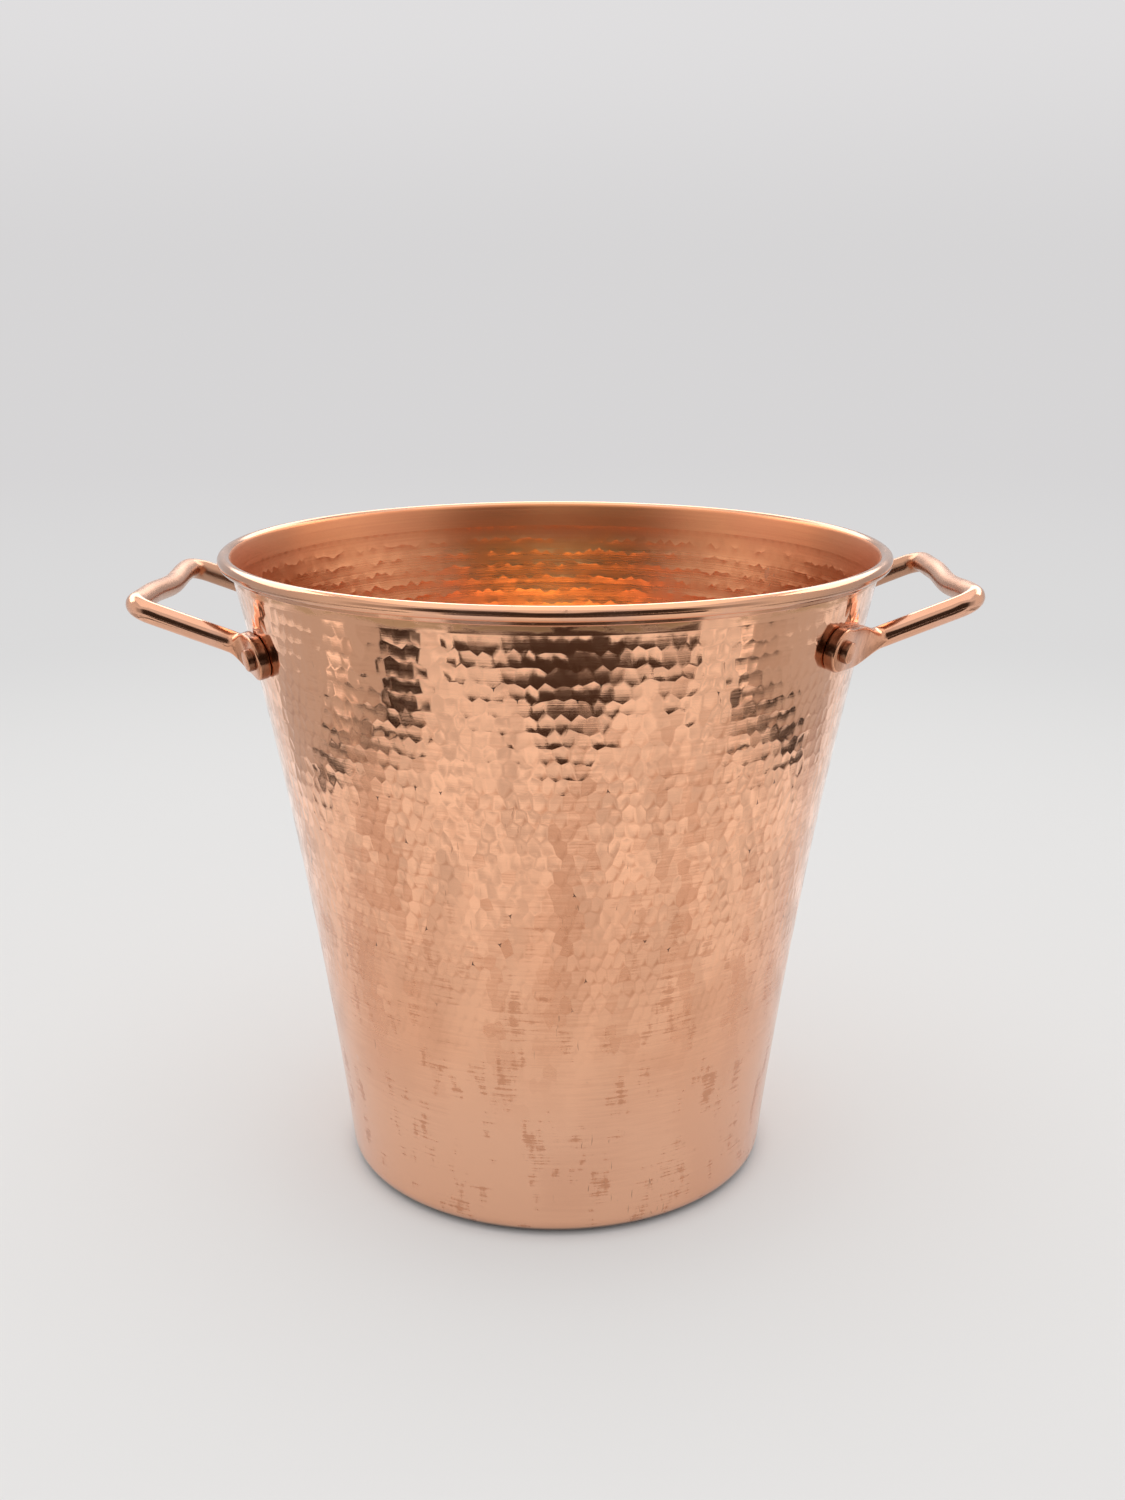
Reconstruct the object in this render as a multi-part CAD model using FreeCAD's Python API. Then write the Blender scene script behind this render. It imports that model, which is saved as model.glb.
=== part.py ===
"""Two-handled hammered copper bucket: a raised shell with a wired rim, two riveted rod handles.

Millimetres, +Z up. The origin is the middle of the base, on the surface that the bucket stands on.
+X runs through the right handle, and the front of the bucket faces -Y.
"""
import FreeCAD, Part
import os
from math import asin, cos, degrees, hypot, pi, radians, sin, sqrt

V = FreeCAD.Vector
UP = V(0, 0, 1)
ORIGIN = V(0, 0, 0)

# Shell
rim_radius = 110.0
height = 214.0
base_radius = 72.2
wall_bow = 2.9
sheet = 1.0
base_corner = 6.0
dish_radius = 54.0
dish_rise = 2.0

# Wired rim
wire_diameter = 2.4
hem_drop = 1.4
hem_gap = 0.15

# Handles
rod_diameter = 7.0
rod_bend = 6.5
grip_room = 21.6
handle_half_span = 38.0
handle_turn = 2.5
neck_length = 6.8
neck_step = 0.1
widening_share = 0.6
squareness = 0.45
foot_thickness = 3.6
foot_radius = 7.0

# Each handle is bent and set by hand: depths of the bar and of the rivets under the rim, tilt of the arms, angle
# of the feet
left_set = {"bar_drop": 14.7, "tilt": 19.5, "foot_angle": 29.1, "rivet_drop": 27.8}
right_set = {"bar_drop": 12.4, "tilt": 21.0, "foot_angle": 36.9, "rivet_drop": 22.5}

# Rivets
shank_diameter = 4.8
button_diameter = 7.0
button_height = 2.1
button_crown = 0.3
button_edge = 0.6
sink_diameter = 7.0
sink_depth = 0.7

# Room left between pieces that fit together
fit_gap = 0.05

# Sizes that follow from the ones above
tunnel_radius = wire_diameter / 2 + fit_gap
roll_radius = tunnel_radius + sheet
roll_centre = V(rim_radius - roll_radius, 0, height - roll_radius)
foot_face = fit_gap + foot_thickness
rivet_seat = foot_face + fit_gap
handle_reach = rim_radius + grip_room


def on_circle(centre, radius, angle):
    """Point of a circle in the XZ plane, its angle in degrees from +X towards +Z."""
    return centre + V(cos(radians(angle)), 0, sin(radians(angle))) * radius


def circles_meet(centre_a, radius_a, centre_b, radius_b):
    """The two points where two circles in the XZ plane cross, the lower one first."""
    along = centre_b - centre_a
    distance = along.Length
    along.normalize()
    across = V(-along.z, 0, along.x)
    reach = (radius_a ** 2 - radius_b ** 2 + distance ** 2) / (2 * distance)
    side = sqrt(radius_a ** 2 - reach ** 2)
    points = [centre_a + along * reach + across * side, centre_a + along * reach - across * side]
    return sorted(points, key=lambda point: point.z)


def arc(start, through, end):
    return Part.Arc(start, through, end).toShape()


def line(start, end):
    return Part.LineSegment(start, end).toShape()


# The wall's outer face is an arc with its centre far outside the bucket. It starts at the base radius, bows
# inwards by the wall's bow, and its inner face runs on into the roll of the rim.
wall_chord = (roll_centre - V(base_radius, 0, 0)).Length
wall_radius = wall_chord ** 2 / (8 * wall_bow)
wall_centre = max(circles_meet(V(base_radius, 0, 0), wall_radius, roll_centre, wall_radius + sheet - roll_radius),
                  key=lambda point: point.x)


def wall_at(z, outwards=0.0):
    """Radius of the wall's outer face at a height, or of a face that lies further outwards."""
    return wall_centre.x - sqrt((wall_radius - outwards) ** 2 - (z - wall_centre.z) ** 2)


def wall_arc(z_start, z_end, outwards=0.0):
    heights = (z_start, (z_start + z_end) / 2, z_end)
    return arc(*[V(wall_at(z, outwards), 0, z) for z in heights])


def from_wall_centre(point, distance):
    """Point on the line from the wall's centre through another point, at a distance from the wall's centre."""
    along = point - wall_centre
    along.normalize()
    return wall_centre + along * distance


def make_shell():
    """One sheet of even thickness, from the dished base up the wall, round the wire and down as a hem."""
    corner_x = wall_centre.x - sqrt((wall_radius + base_corner) ** 2 - (wall_centre.z - base_corner) ** 2)
    corner_centre = V(corner_x, 0, base_corner)
    outer_corner = from_wall_centre(corner_centre, wall_radius)
    inner_corner = from_wall_centre(corner_centre, wall_radius + sheet)
    corner_middle = degrees(asin((outer_corner.z - base_corner) / base_corner)) / 2 - 45

    dish_curve = (dish_radius ** 2 + dish_rise ** 2) / (2 * dish_rise)
    dish_centre = V(0, 0, dish_rise - dish_curve)
    dish_inside = sqrt(dish_rise * (2 * (dish_curve + sheet) - dish_rise))
    dish_middle = 90 - degrees(asin(dish_radius / dish_curve)) / 2

    tunnel_start = from_wall_centre(roll_centre, wall_radius)
    tunnel_end = circles_meet(roll_centre, tunnel_radius, wall_centre, wall_radius - hem_gap)[0]
    roll_start = circles_meet(roll_centre, roll_radius, wall_centre, wall_radius - hem_gap - sheet)[0]
    roll_end = from_wall_centre(roll_centre, wall_radius + sheet)
    hem_z = roll_centre.z - roll_radius - hem_drop
    hem_inner = V(wall_at(hem_z, hem_gap), 0, hem_z)
    hem_outer = V(wall_at(hem_z, hem_gap + sheet), 0, hem_z)

    edges = [
        arc(V(0, 0, dish_rise), on_circle(dish_centre, dish_curve, dish_middle), V(dish_radius, 0, 0)),
        line(V(dish_radius, 0, 0), V(corner_x, 0, 0)),
        arc(V(corner_x, 0, 0), on_circle(corner_centre, base_corner, corner_middle), outer_corner),
        wall_arc(outer_corner.z, tunnel_start.z),
        arc(tunnel_start, on_circle(roll_centre, tunnel_radius, 0), tunnel_end),
        wall_arc(tunnel_end.z, hem_z, hem_gap),
        line(hem_inner, hem_outer),
        wall_arc(hem_z, roll_start.z, hem_gap + sheet),
        arc(roll_start, on_circle(roll_centre, roll_radius, 0), roll_end),
        wall_arc(roll_end.z, inner_corner.z, -sheet),
        arc(inner_corner, on_circle(corner_centre, base_corner - sheet, corner_middle), V(corner_x, 0, sheet)),
        line(V(corner_x, 0, sheet), V(dish_inside, 0, sheet)),
        arc(V(dish_inside, 0, sheet), on_circle(dish_centre, dish_curve + sheet, dish_middle),
            V(0, 0, dish_rise + sheet)),
        line(V(0, 0, dish_rise + sheet), V(0, 0, dish_rise)),
    ]
    return Part.Face(Part.Wire(edges)).revolve(ORIGIN, UP, 360)


def make_core(outwards):
    """Everything inside a face that lies along the wall, over the height where the handles sit."""
    low, high = height / 2, height - roll_radius
    edges = [
        line(V(0, 0, low), V(wall_at(low, outwards), 0, low)),
        wall_arc(low, high, outwards),
        line(V(wall_at(high, outwards), 0, high), V(0, 0, high)),
        line(V(0, 0, high), V(0, 0, low)),
    ]
    return Part.Face(Part.Wire(edges)).revolve(ORIGIN, UP, 360)


class Foot:
    """Where one end of a handle sits on the wall: the rivet's point, the wall's normal and the arm's line."""

    def __init__(self, setting, side):
        angle = radians(setting["foot_angle"]) * side
        z = height - setting["rivet_drop"]
        lean = asin((z - wall_centre.z) / wall_radius)
        self.normal = V(cos(angle) * cos(lean), sin(angle) * cos(lean), -sin(lean))
        self.rivet_point = V(cos(angle) * wall_at(z), sin(angle) * wall_at(z), z)
        tilt = radians(setting["tilt"])
        self.inwards = V(-cos(tilt), 0, -sin(tilt))
        self.corner = V(handle_reach, side * handle_half_span, height - setting["bar_drop"])
        self.meeting = self.corner + self.inwards * self.arm_length()
        self.neck = self.meeting - self.inwards * neck_length

    def arm_length(self):
        """Length of the arm's line from its corner to the middle of the foot's thickness, by halving."""
        short, long = 0.0, handle_reach
        while long - short > 1e-6:
            middle = (short + long) / 2
            point = self.corner + self.inwards * middle
            if hypot(point.x, point.y) > wall_at(point.z, fit_gap + foot_thickness / 2):
                short = middle
            else:
                long = middle
        return short

    def along_rivet(self, distance):
        return self.rivet_point + self.normal * distance


def eased(share):
    """Slow start and slow end between 0 and 1."""
    return share * share * (3 - 2 * share)


def flattened_section(centre, along, normal, width, thickness, roundness):
    """Closed outline across the rod's end: round at first, then wider, thinner and squarer."""
    wide = along.cross(normal)
    wide.normalize()
    thick = wide.cross(along)
    points = []
    for step in range(16):
        turn = 2 * pi * step / 16
        x, y = cos(turn), sin(turn)
        x = abs(x) ** roundness * (1 if x > 0 else -1)
        y = abs(y) ** roundness * (1 if y > 0 else -1)
        points.append(centre + wide * (x * width / 2) + thick * (y * thickness / 2))
    outline = Part.BSplineCurve()
    outline.interpolate(points, PeriodicFlag=True)
    return Part.Wire([outline.toShape()])


def make_neck(foot):
    """The forged stretch between the round rod and the foot: it bends onto the wall while it flattens."""
    start = foot.neck - foot.inwards * neck_step
    bend = foot.meeting
    middle_of_foot = foot.along_rivet(fit_gap + foot_thickness / 2)
    towards = bend - middle_of_foot
    towards.normalize()
    end = middle_of_foot + towards * (foot_radius / 3)
    round_width = rod_diameter - 2 * neck_step
    flat_width = foot_radius * 1.8
    flat_thickness = foot_thickness * 0.8
    sections = []
    for share in (0.0, 0.3, 0.55, 0.8, 1.0):
        place = start * (1 - share) ** 2 + bend * (2 * share * (1 - share)) + end * share ** 2
        along = (bend - start) * (1 - share) + (end - bend) * share
        along.normalize()
        spread = eased(min(share / widening_share, 1))
        flatness = eased(share)
        width = round_width + (flat_width - round_width) * spread
        thickness = round_width + (flat_thickness - round_width) * flatness
        sections.append(flattened_section(place, along, foot.normal, width, thickness, 1 - squareness * flatness))
    return Part.makeLoft(sections, True, False)


def make_rod(front, rear):
    """Round rod: an arm, a bend, the grip bar, a bend and the other arm."""
    across = V(0, 1, 0)
    inwards = front.inwards
    ends = []
    for foot, sideways in ((front, across), (rear, -across)):
        arm_end = foot.corner + inwards * rod_bend
        bar_end = foot.corner + sideways * rod_bend
        middle = foot.corner + (inwards + sideways) * (rod_bend * (1 - sqrt(0.5)))
        ends.append((arm_end, middle, bar_end))
    path = Part.Wire([
        line(front.neck, ends[0][0]),
        arc(*ends[0]),
        line(ends[0][2], ends[1][2]),
        arc(*reversed(ends[1])),
        line(ends[1][0], rear.neck),
    ])
    section = Part.Wire([Part.Circle(front.neck, inwards, rod_diameter / 2).toShape()])
    return path.makePipeShell([section], True, False)


def turned(points_and_arcs, foot):
    """Solid turned about a rivet's axis, from an outline whose Z runs along the axis, outwards."""
    solid = Part.Face(Part.Wire(points_and_arcs)).revolve(ORIGIN, UP, 360)
    solid.Placement = FreeCAD.Placement(foot.rivet_point, FreeCAD.Rotation(UP, foot.normal))
    return solid


def rivet_shank(foot, room=0.0):
    """Shank through the wall and the foot, which widens into a countersink at the wall's inner face."""
    radius = shank_diameter / 2 + room
    over = sheet / 2
    widening = (sink_diameter - shank_diameter) / 2 / sink_depth
    sink_end = V(radius + widening * (sink_depth + over), 0, -sheet - over)
    sink_start = V(radius, 0, sink_depth - sheet)
    top = V(radius, 0, rivet_seat + button_height / 2)
    return turned([
        line(V(0, 0, sink_end.z), sink_end),
        line(sink_end, sink_start),
        line(sink_start, top),
        line(top, V(0, 0, top.z)),
        line(V(0, 0, top.z), V(0, 0, sink_end.z)),
    ], foot)


def make_handle(feet, seat_core, face_core):
    pieces = []
    for foot in feet:
        disc_depth = 2 * foot_radius
        disc = Part.makeCylinder(foot_radius, 2 * disc_depth, foot.along_rivet(-disc_depth), foot.normal)
        forged = make_neck(foot).fuse(disc.common(face_core))
        pieces.append(forged.cut(seat_core).cut(rivet_shank(foot, fit_gap)))
    return make_rod(*feet).fuse(pieces).removeSplitter()


def make_rivet(foot, inside_core, seat_core):
    """Countersunk shank, flush with the wall inside, and a button outside that sits on the foot."""
    top = rivet_seat + button_height
    button_radius = button_diameter / 2
    edge_start = V(button_radius, 0, top - button_edge)
    edge_middle = on_circle(V(button_radius - button_edge, 0, top - button_edge), button_edge, 45)
    edge_end = V(button_radius - button_edge, 0, top)
    crown_top = V(0, 0, top + button_crown)
    button = turned([
        line(ORIGIN, V(button_radius, 0, 0)),
        line(V(button_radius, 0, 0), edge_start),
        arc(edge_start, edge_middle, edge_end),
        line(edge_end, crown_top),
        line(crown_top, ORIGIN),
    ], foot).cut(seat_core)
    return rivet_shank(foot).cut(inside_core).fuse(button).removeSplitter()


def main():
    os.makedirs("parts", exist_ok=True)
    nodes = {}
    shell = make_shell()
    seat_core, face_core = make_core(fit_gap), make_core(foot_face)
    button_core, inside_core = make_core(rivet_seat), make_core(-sheet)
    for side, setting, heading in (("right", right_set, handle_turn), ("left", left_set, 180 - handle_turn)):
        feet = [Foot(setting, -1), Foot(setting, 1)]
        nodes[side + "_handle"] = make_handle(feet, seat_core, face_core)
        names = ("front", "rear") if side == "right" else ("rear", "front")
        for name, foot in zip(names, feet):
            nodes[side + "_" + name + "_rivet"] = make_rivet(foot, inside_core, button_core)
            bore = rivet_shank(foot, fit_gap)
            bore.rotate(ORIGIN, UP, heading)
            shell = shell.cut(bore)
        for name in nodes:
            if name.startswith(side):
                nodes[name].rotate(ORIGIN, UP, heading)
    nodes["bucket_shell"] = shell
    nodes["rim_wire"] = Part.makeTorus(roll_centre.x, wire_diameter / 2, V(0, 0, roll_centre.z))
    for name, shape in nodes.items():
        print(name, "solids", len(shape.Solids), "valid", shape.isValid(), "volume", round(shape.Volume, 1))
        shape.exportStep("parts/" + name + ".step")


main()
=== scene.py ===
"""Looks of a hammered copper bucket: planished wall, wired rim, forged rod handles and their rivets.

Metres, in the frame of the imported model: +Z up, +X through the right handle, the front faces -Y.
"""
from math import acos, asin, atan2, cos, hypot, pi, radians, sin, sqrt

import bpy
import numpy as np
from mathutils import Matrix, Vector


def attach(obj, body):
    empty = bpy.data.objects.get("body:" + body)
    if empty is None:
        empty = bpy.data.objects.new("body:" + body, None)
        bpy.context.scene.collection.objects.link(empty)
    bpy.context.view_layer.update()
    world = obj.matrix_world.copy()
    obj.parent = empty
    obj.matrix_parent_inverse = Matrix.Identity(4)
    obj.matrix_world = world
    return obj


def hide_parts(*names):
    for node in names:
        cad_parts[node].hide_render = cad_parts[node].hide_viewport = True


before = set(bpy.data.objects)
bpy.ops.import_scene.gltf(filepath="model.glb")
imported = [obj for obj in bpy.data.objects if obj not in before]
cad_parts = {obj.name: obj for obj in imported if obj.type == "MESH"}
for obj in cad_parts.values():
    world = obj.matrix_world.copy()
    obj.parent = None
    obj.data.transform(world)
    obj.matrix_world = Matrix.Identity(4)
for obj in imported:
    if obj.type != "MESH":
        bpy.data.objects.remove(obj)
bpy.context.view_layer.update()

MM = 0.001
UP = Vector((0, 0, 1))
RNG = np.random.default_rng(11)
MERGE_GAP = 0.002 * MM

# Shell
RIM_RADIUS = 109.98 * MM
HEIGHT = 213.99 * MM
BASE_RADIUS = 72.2 * MM
WALL_BOW = 2.9 * MM
SHEET = 1.0 * MM
BASE_CORNER = 6 * MM
DISH_RADIUS = 54 * MM
DISH_RISE = 2 * MM
ROLL_RADIUS = 2.25 * MM
HEM_DROP = 1.4 * MM
HEM_GAP = 0.15 * MM

# Hammer marks: how many go round, how tall a row is, how deep they are and where they fade down the wall
MARKS_ROUND = 150
MARK_HEIGHT = 4.9 * MM
MARK_EDGE = 0.8 * MM
MARK_DEPTH = 0.07 * MM
INNER_DEPTH = 0.27 * MM
PLAIN_BAND = 3 * MM
SOFT_MARKS_BELOW = 110 * MM
NO_MARKS_BELOW = 36 * MM
UPRIGHT_EDGES_BELOW = 152 * MM
WAVE_DEPTH = 0.12 * MM
ON_LINE = 0.02 * MM

# Fields: how far their corners wander, how hard the blows are, how tones differ and how many have pits
ZIGZAG = 0.13
ROW_SPREAD = 0.2
TURN_SPREAD = 0.17
OUTER_BLOWS = (0.15, 1.55)
INNER_BLOWS = (0.7, 1.2)
RING_SHARE = 0.62
TONE_SPREAD = 0.09
PIT_SHARE = 0.014

# Handles, with turns, tilts and angles in degrees
ROD_RADIUS = 3.5 * MM
ROD_BEND = 6.5 * MM
HANDLE_REACH = 131.6 * MM
HANDLE_HALF_SPAN = 38 * MM
HANDLE_TURN = 2.5
BAR_SAG = 1.25 * MM
NECK_LENGTH = 6.8 * MM
FOOT_THICKNESS = 3.6 * MM
FOOT_RADIUS = 7 * MM
FOOT_EDGE = 0.8 * MM
DARK_FOOT_REACH = 14 * MM
FIT_GAP = 0.05 * MM
SECTION_POINTS = 32
LEFT_SET = {"bar_drop": 14.7 * MM, "tilt": 19.5, "foot_angle": 29.1, "rivet_drop": 27.8 * MM}
RIGHT_SET = {"bar_drop": 12.4 * MM, "tilt": 21.0, "foot_angle": 36.9, "rivet_drop": 22.5 * MM}

# Rivets
BUTTON_RADIUS = 3.5 * MM
BUTTON_HEIGHT = 2.1 * MM
SHANK_RADIUS = 2.4 * MM
SINK_RADIUS = 3.5 * MM
SINK_DEPTH = 0.7 * MM
BUTTON_CROWN = 0.3 * MM
BUTTON_EDGE = 0.6 * MM
HAND_WORK = 0.05 * MM

# Camera of the photograph: frame and lens in pixels, its place, and its pitch in degrees
FRAME_TALL = 1500
LENS_PIXELS = 1700
CAMERA_PLACE = (2.318 * MM, -559.1 * MM, 301 * MM)
CAMERA_PITCH = 15.756


# Modelling helpers

def start_piece(name, add, **settings):
    """Adds a primitive with nothing else selected and names it."""
    if bpy.context.object and bpy.context.object.mode != "OBJECT":
        bpy.ops.object.mode_set(mode="OBJECT")
    bpy.ops.object.select_all(action="DESELECT")
    add(**settings)
    piece = bpy.context.object
    piece.name = piece.data.name = name
    return piece


def edit(piece, domain="VERT"):
    bpy.context.view_layer.objects.active = piece
    bpy.context.tool_settings.mesh_select_mode = [domain == kind for kind in ("VERT", "EDGE", "FACE")]
    bpy.ops.object.mode_set(mode="EDIT")


def done():
    bpy.ops.object.mode_set(mode="OBJECT")


def pick(piece, domain, mask):
    """Selects only the vertices, edges or faces that the mask names, and starts edit mode on them."""
    mesh = piece.data
    for elements in (mesh.vertices, mesh.edges, mesh.polygons):
        elements.foreach_set("select", np.zeros(len(elements), bool))
    chosen = {"VERT": mesh.vertices, "EDGE": mesh.edges, "FACE": mesh.polygons}[domain]
    chosen.foreach_set("select", np.asarray(mask, bool))
    edit(piece, domain)


def places(piece):
    points = np.empty(len(piece.data.vertices) * 3)
    piece.data.vertices.foreach_get("co", points)
    return points.reshape(-1, 3)


def set_places(piece, points):
    piece.data.vertices.foreach_set("co", np.ascontiguousarray(points).ravel())
    piece.data.update()


def edge_ends(piece):
    ends = np.empty(len(piece.data.edges) * 2, np.int64)
    piece.data.edges.foreach_get("vertices", ends)
    return ends.reshape(-1, 2)


def radius_of(points):
    return np.hypot(points[:, 0], points[:, 1])


def turn_of(points):
    return np.arctan2(points[:, 1], points[:, 0])


def face_vectors(piece, kind):
    """The middle or the normal of every face."""
    vectors = np.empty(len(piece.data.polygons) * 3)
    piece.data.polygons.foreach_get(kind, vectors)
    return vectors.reshape(-1, 3)


def keep(piece, name, domain, values):
    """Keeps a value on every point or face of the mesh, for its material."""
    attribute = piece.data.attributes.new(name, "FLOAT", domain)
    attribute.data.foreach_set("value", values.astype(np.float32))


def eased(share):
    """A share from 0 to 1 that starts and ends gently."""
    return share * share * (3 - 2 * share)


def draw_outline(piece, points):
    """Makes the piece a chain of edges through the points, each extruded from the last."""
    edit(piece)
    bpy.ops.mesh.select_all(action="SELECT")
    bpy.ops.mesh.merge(type="CENTER")
    here = Vector((0, 0, 0))
    for index, point in enumerate(points):
        step = Vector(point) - here
        here = Vector(point)
        if index == 0:
            bpy.ops.transform.translate(value=step)
        else:
            bpy.ops.mesh.extrude_vertices_move(TRANSFORM_OT_translate={"value": step})
    bpy.ops.mesh.select_all(action="SELECT")


def close_mesh():
    """Merges doubles and turns all faces outwards."""
    bpy.ops.mesh.select_all(action="SELECT")
    bpy.ops.mesh.remove_doubles(threshold=MERGE_GAP)
    bpy.ops.mesh.normals_make_consistent(inside=False)


def smooth(piece, angle=35):
    bpy.ops.object.select_all(action="DESELECT")
    piece.select_set(True)
    bpy.context.view_layer.objects.active = piece
    bpy.ops.object.shade_smooth_by_angle(angle=radians(angle), keep_sharp_edges=True)


def hand_over(piece, node, material):
    """The piece stands for a node of the frame and takes its place on the body."""
    piece.data.materials.clear()
    for each in material if isinstance(material, list) else [material]:
        piece.data.materials.append(each)
    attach(piece, "root")
    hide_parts(node)


# The wall's section: an arc with its centre far outside the bucket, which runs on into the roll of the rim

ROLL_CENTRE = (RIM_RADIUS - ROLL_RADIUS, HEIGHT - ROLL_RADIUS)


def circles_meet(centre_a, radius_a, centre_b, radius_b):
    """The two points where two circles in the plane of the section cross."""
    along = np.subtract(centre_b, centre_a)
    distance = np.hypot(*along)
    along = along / distance
    reach = (radius_a ** 2 - radius_b ** 2 + distance ** 2) / (2 * distance)
    side = sqrt(radius_a ** 2 - reach ** 2)
    across = np.array((-along[1], along[0]))
    middle = np.array(centre_a) + along * reach
    return middle + across * side, middle - across * side


WALL_CURVE = hypot(ROLL_CENTRE[0] - BASE_RADIUS, ROLL_CENTRE[1]) ** 2 / (8 * WALL_BOW)
WALL_CENTRE = max(circles_meet((BASE_RADIUS, 0), WALL_CURVE, ROLL_CENTRE, WALL_CURVE + SHEET - ROLL_RADIUS),
                  key=lambda point: point[0])


def wall_at(z, outwards=0.0):
    """Radius of the wall's outer face at a height, or of a face that lies further outwards."""
    return WALL_CENTRE[0] - np.sqrt((WALL_CURVE - outwards) ** 2 - (z - WALL_CENTRE[1]) ** 2)


def off_wall(points, outwards=0.0):
    """How far points lie outside the wall's outer face, or outside a face that lies further outwards."""
    return radius_of(points) - wall_at(np.clip(points[:, 2], 0, HEIGHT), outwards)


def arc_points(centre, radius, start, end, steps):
    """Points of an arc between two angles in degrees, both ends included."""
    turns = np.radians(np.linspace(start, end, steps + 1))
    return [(centre[0] + radius * cos(turn), centre[1] + radius * sin(turn)) for turn in turns]


def angle_of(point, centre):
    return np.degrees(atan2(point[1] - centre[1], point[0] - centre[0]))


CORNER_X = WALL_CENTRE[0] - sqrt((WALL_CURVE + BASE_CORNER) ** 2 - (WALL_CENTRE[1] - BASE_CORNER) ** 2)
CORNER_CENTRE = (CORNER_X, BASE_CORNER)
CORNER_TURN = angle_of(WALL_CENTRE, CORNER_CENTRE)
WALL_FOOT = BASE_CORNER + BASE_CORNER * sin(radians(CORNER_TURN))
HEM_FOOT = HEIGHT - 2 * ROLL_RADIUS - HEM_DROP
MARK_ROWS = np.linspace(WALL_FOOT, HEM_FOOT - PLAIN_BAND,
                        round((HEM_FOOT - PLAIN_BAND - WALL_FOOT) / MARK_HEIGHT) + 1)


def shell_outline():
    """Section of the sheet, from the middle of the base up the outside, over the rim and down the inside."""
    dish_curve = (DISH_RADIUS ** 2 + DISH_RISE ** 2) / (2 * DISH_RISE)
    dish_centre = (0, DISH_RISE - dish_curve)
    dish_turn = np.degrees(asin(DISH_RADIUS / dish_curve))
    inner_turn = np.degrees(acos((SHEET - dish_centre[1]) / (dish_curve + SHEET)))
    roll_start = min(circles_meet(ROLL_CENTRE, ROLL_RADIUS, WALL_CENTRE, WALL_CURVE - HEM_GAP - SHEET),
                     key=lambda point: point[1])
    roll_end = angle_of(WALL_CENTRE, ROLL_CENTRE) + 180
    hem_edge = 0.3 * MM
    hem_face = HEM_GAP + SHEET
    outline = arc_points(dish_centre, dish_curve, 90, 90 - dish_turn, 5)
    outline += arc_points(CORNER_CENTRE, BASE_CORNER, -90, CORNER_TURN, 7)
    outline += [(wall_at(z), z) for z in MARK_ROWS[1:]]
    outline += [(wall_at(z), z) for z in (HEM_FOOT - PLAIN_BAND / 2, HEM_FOOT, HEM_FOOT + hem_edge)]
    outline += [(wall_at(HEM_FOOT, HEM_GAP), HEM_FOOT + hem_edge / 3)]
    outline += [(wall_at(HEM_FOOT, hem_face - hem_edge), HEM_FOOT)]
    outline += [(wall_at(HEM_FOOT + hem_edge, hem_face), HEM_FOOT + hem_edge)]
    outline += arc_points(ROLL_CENTRE, ROLL_RADIUS, angle_of(roll_start, ROLL_CENTRE), roll_end, 20)
    outline += [(wall_at(z, -SHEET), z) for z in (HEM_FOOT, HEM_FOOT - PLAIN_BAND / 2)]
    outline += [(wall_at(z, -SHEET), z) for z in MARK_ROWS[:0:-1]]
    outline += arc_points(CORNER_CENTRE, BASE_CORNER - SHEET, CORNER_TURN, -90, 5)
    outline += arc_points(dish_centre, dish_curve + SHEET, 90 - inner_turn, 90, 5)
    return [(radius, 0, z) for radius, z in outline]


def mark_lines(points, outwards):
    """Row and column of each vertex on one face of the wall, with -1 as the row of any other vertex."""
    z = points[:, 2]
    row = np.abs(z[:, None] - MARK_ROWS).argmin(1)
    here = np.abs(z - MARK_ROWS[row]) < ON_LINE
    here &= np.abs(off_wall(points, outwards)) < ON_LINE
    columns = 2 * MARKS_ROUND
    column = np.rint(turn_of(points) / (2 * pi) * columns).astype(int) % columns
    return np.where(here, row, -1), column


def wall_normals(points):
    """Directions square to the wall, outwards."""
    turn = turn_of(points)
    lean = np.arcsin((points[:, 2] - WALL_CENTRE[1]) / WALL_CURVE)
    return np.stack((np.cos(turn) * np.cos(lean), np.sin(turn) * np.cos(lean), -np.sin(lean)), 1)


def wall_normal(turn, z):
    """Direction square to the wall at one place, outwards."""
    lean = asin((z - WALL_CENTRE[1]) / WALL_CURVE)
    return Vector((cos(turn) * cos(lean), sin(turn) * cos(lean), -sin(lean)))


def mark_strength(z):
    """Share of the full depth that hammer marks have at a height: deep under the rim, gone at the foot."""
    return eased(np.clip((z - NO_MARKS_BELOW) / (SOFT_MARKS_BELOW - NO_MARKS_BELOW), 0, 1))


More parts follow.
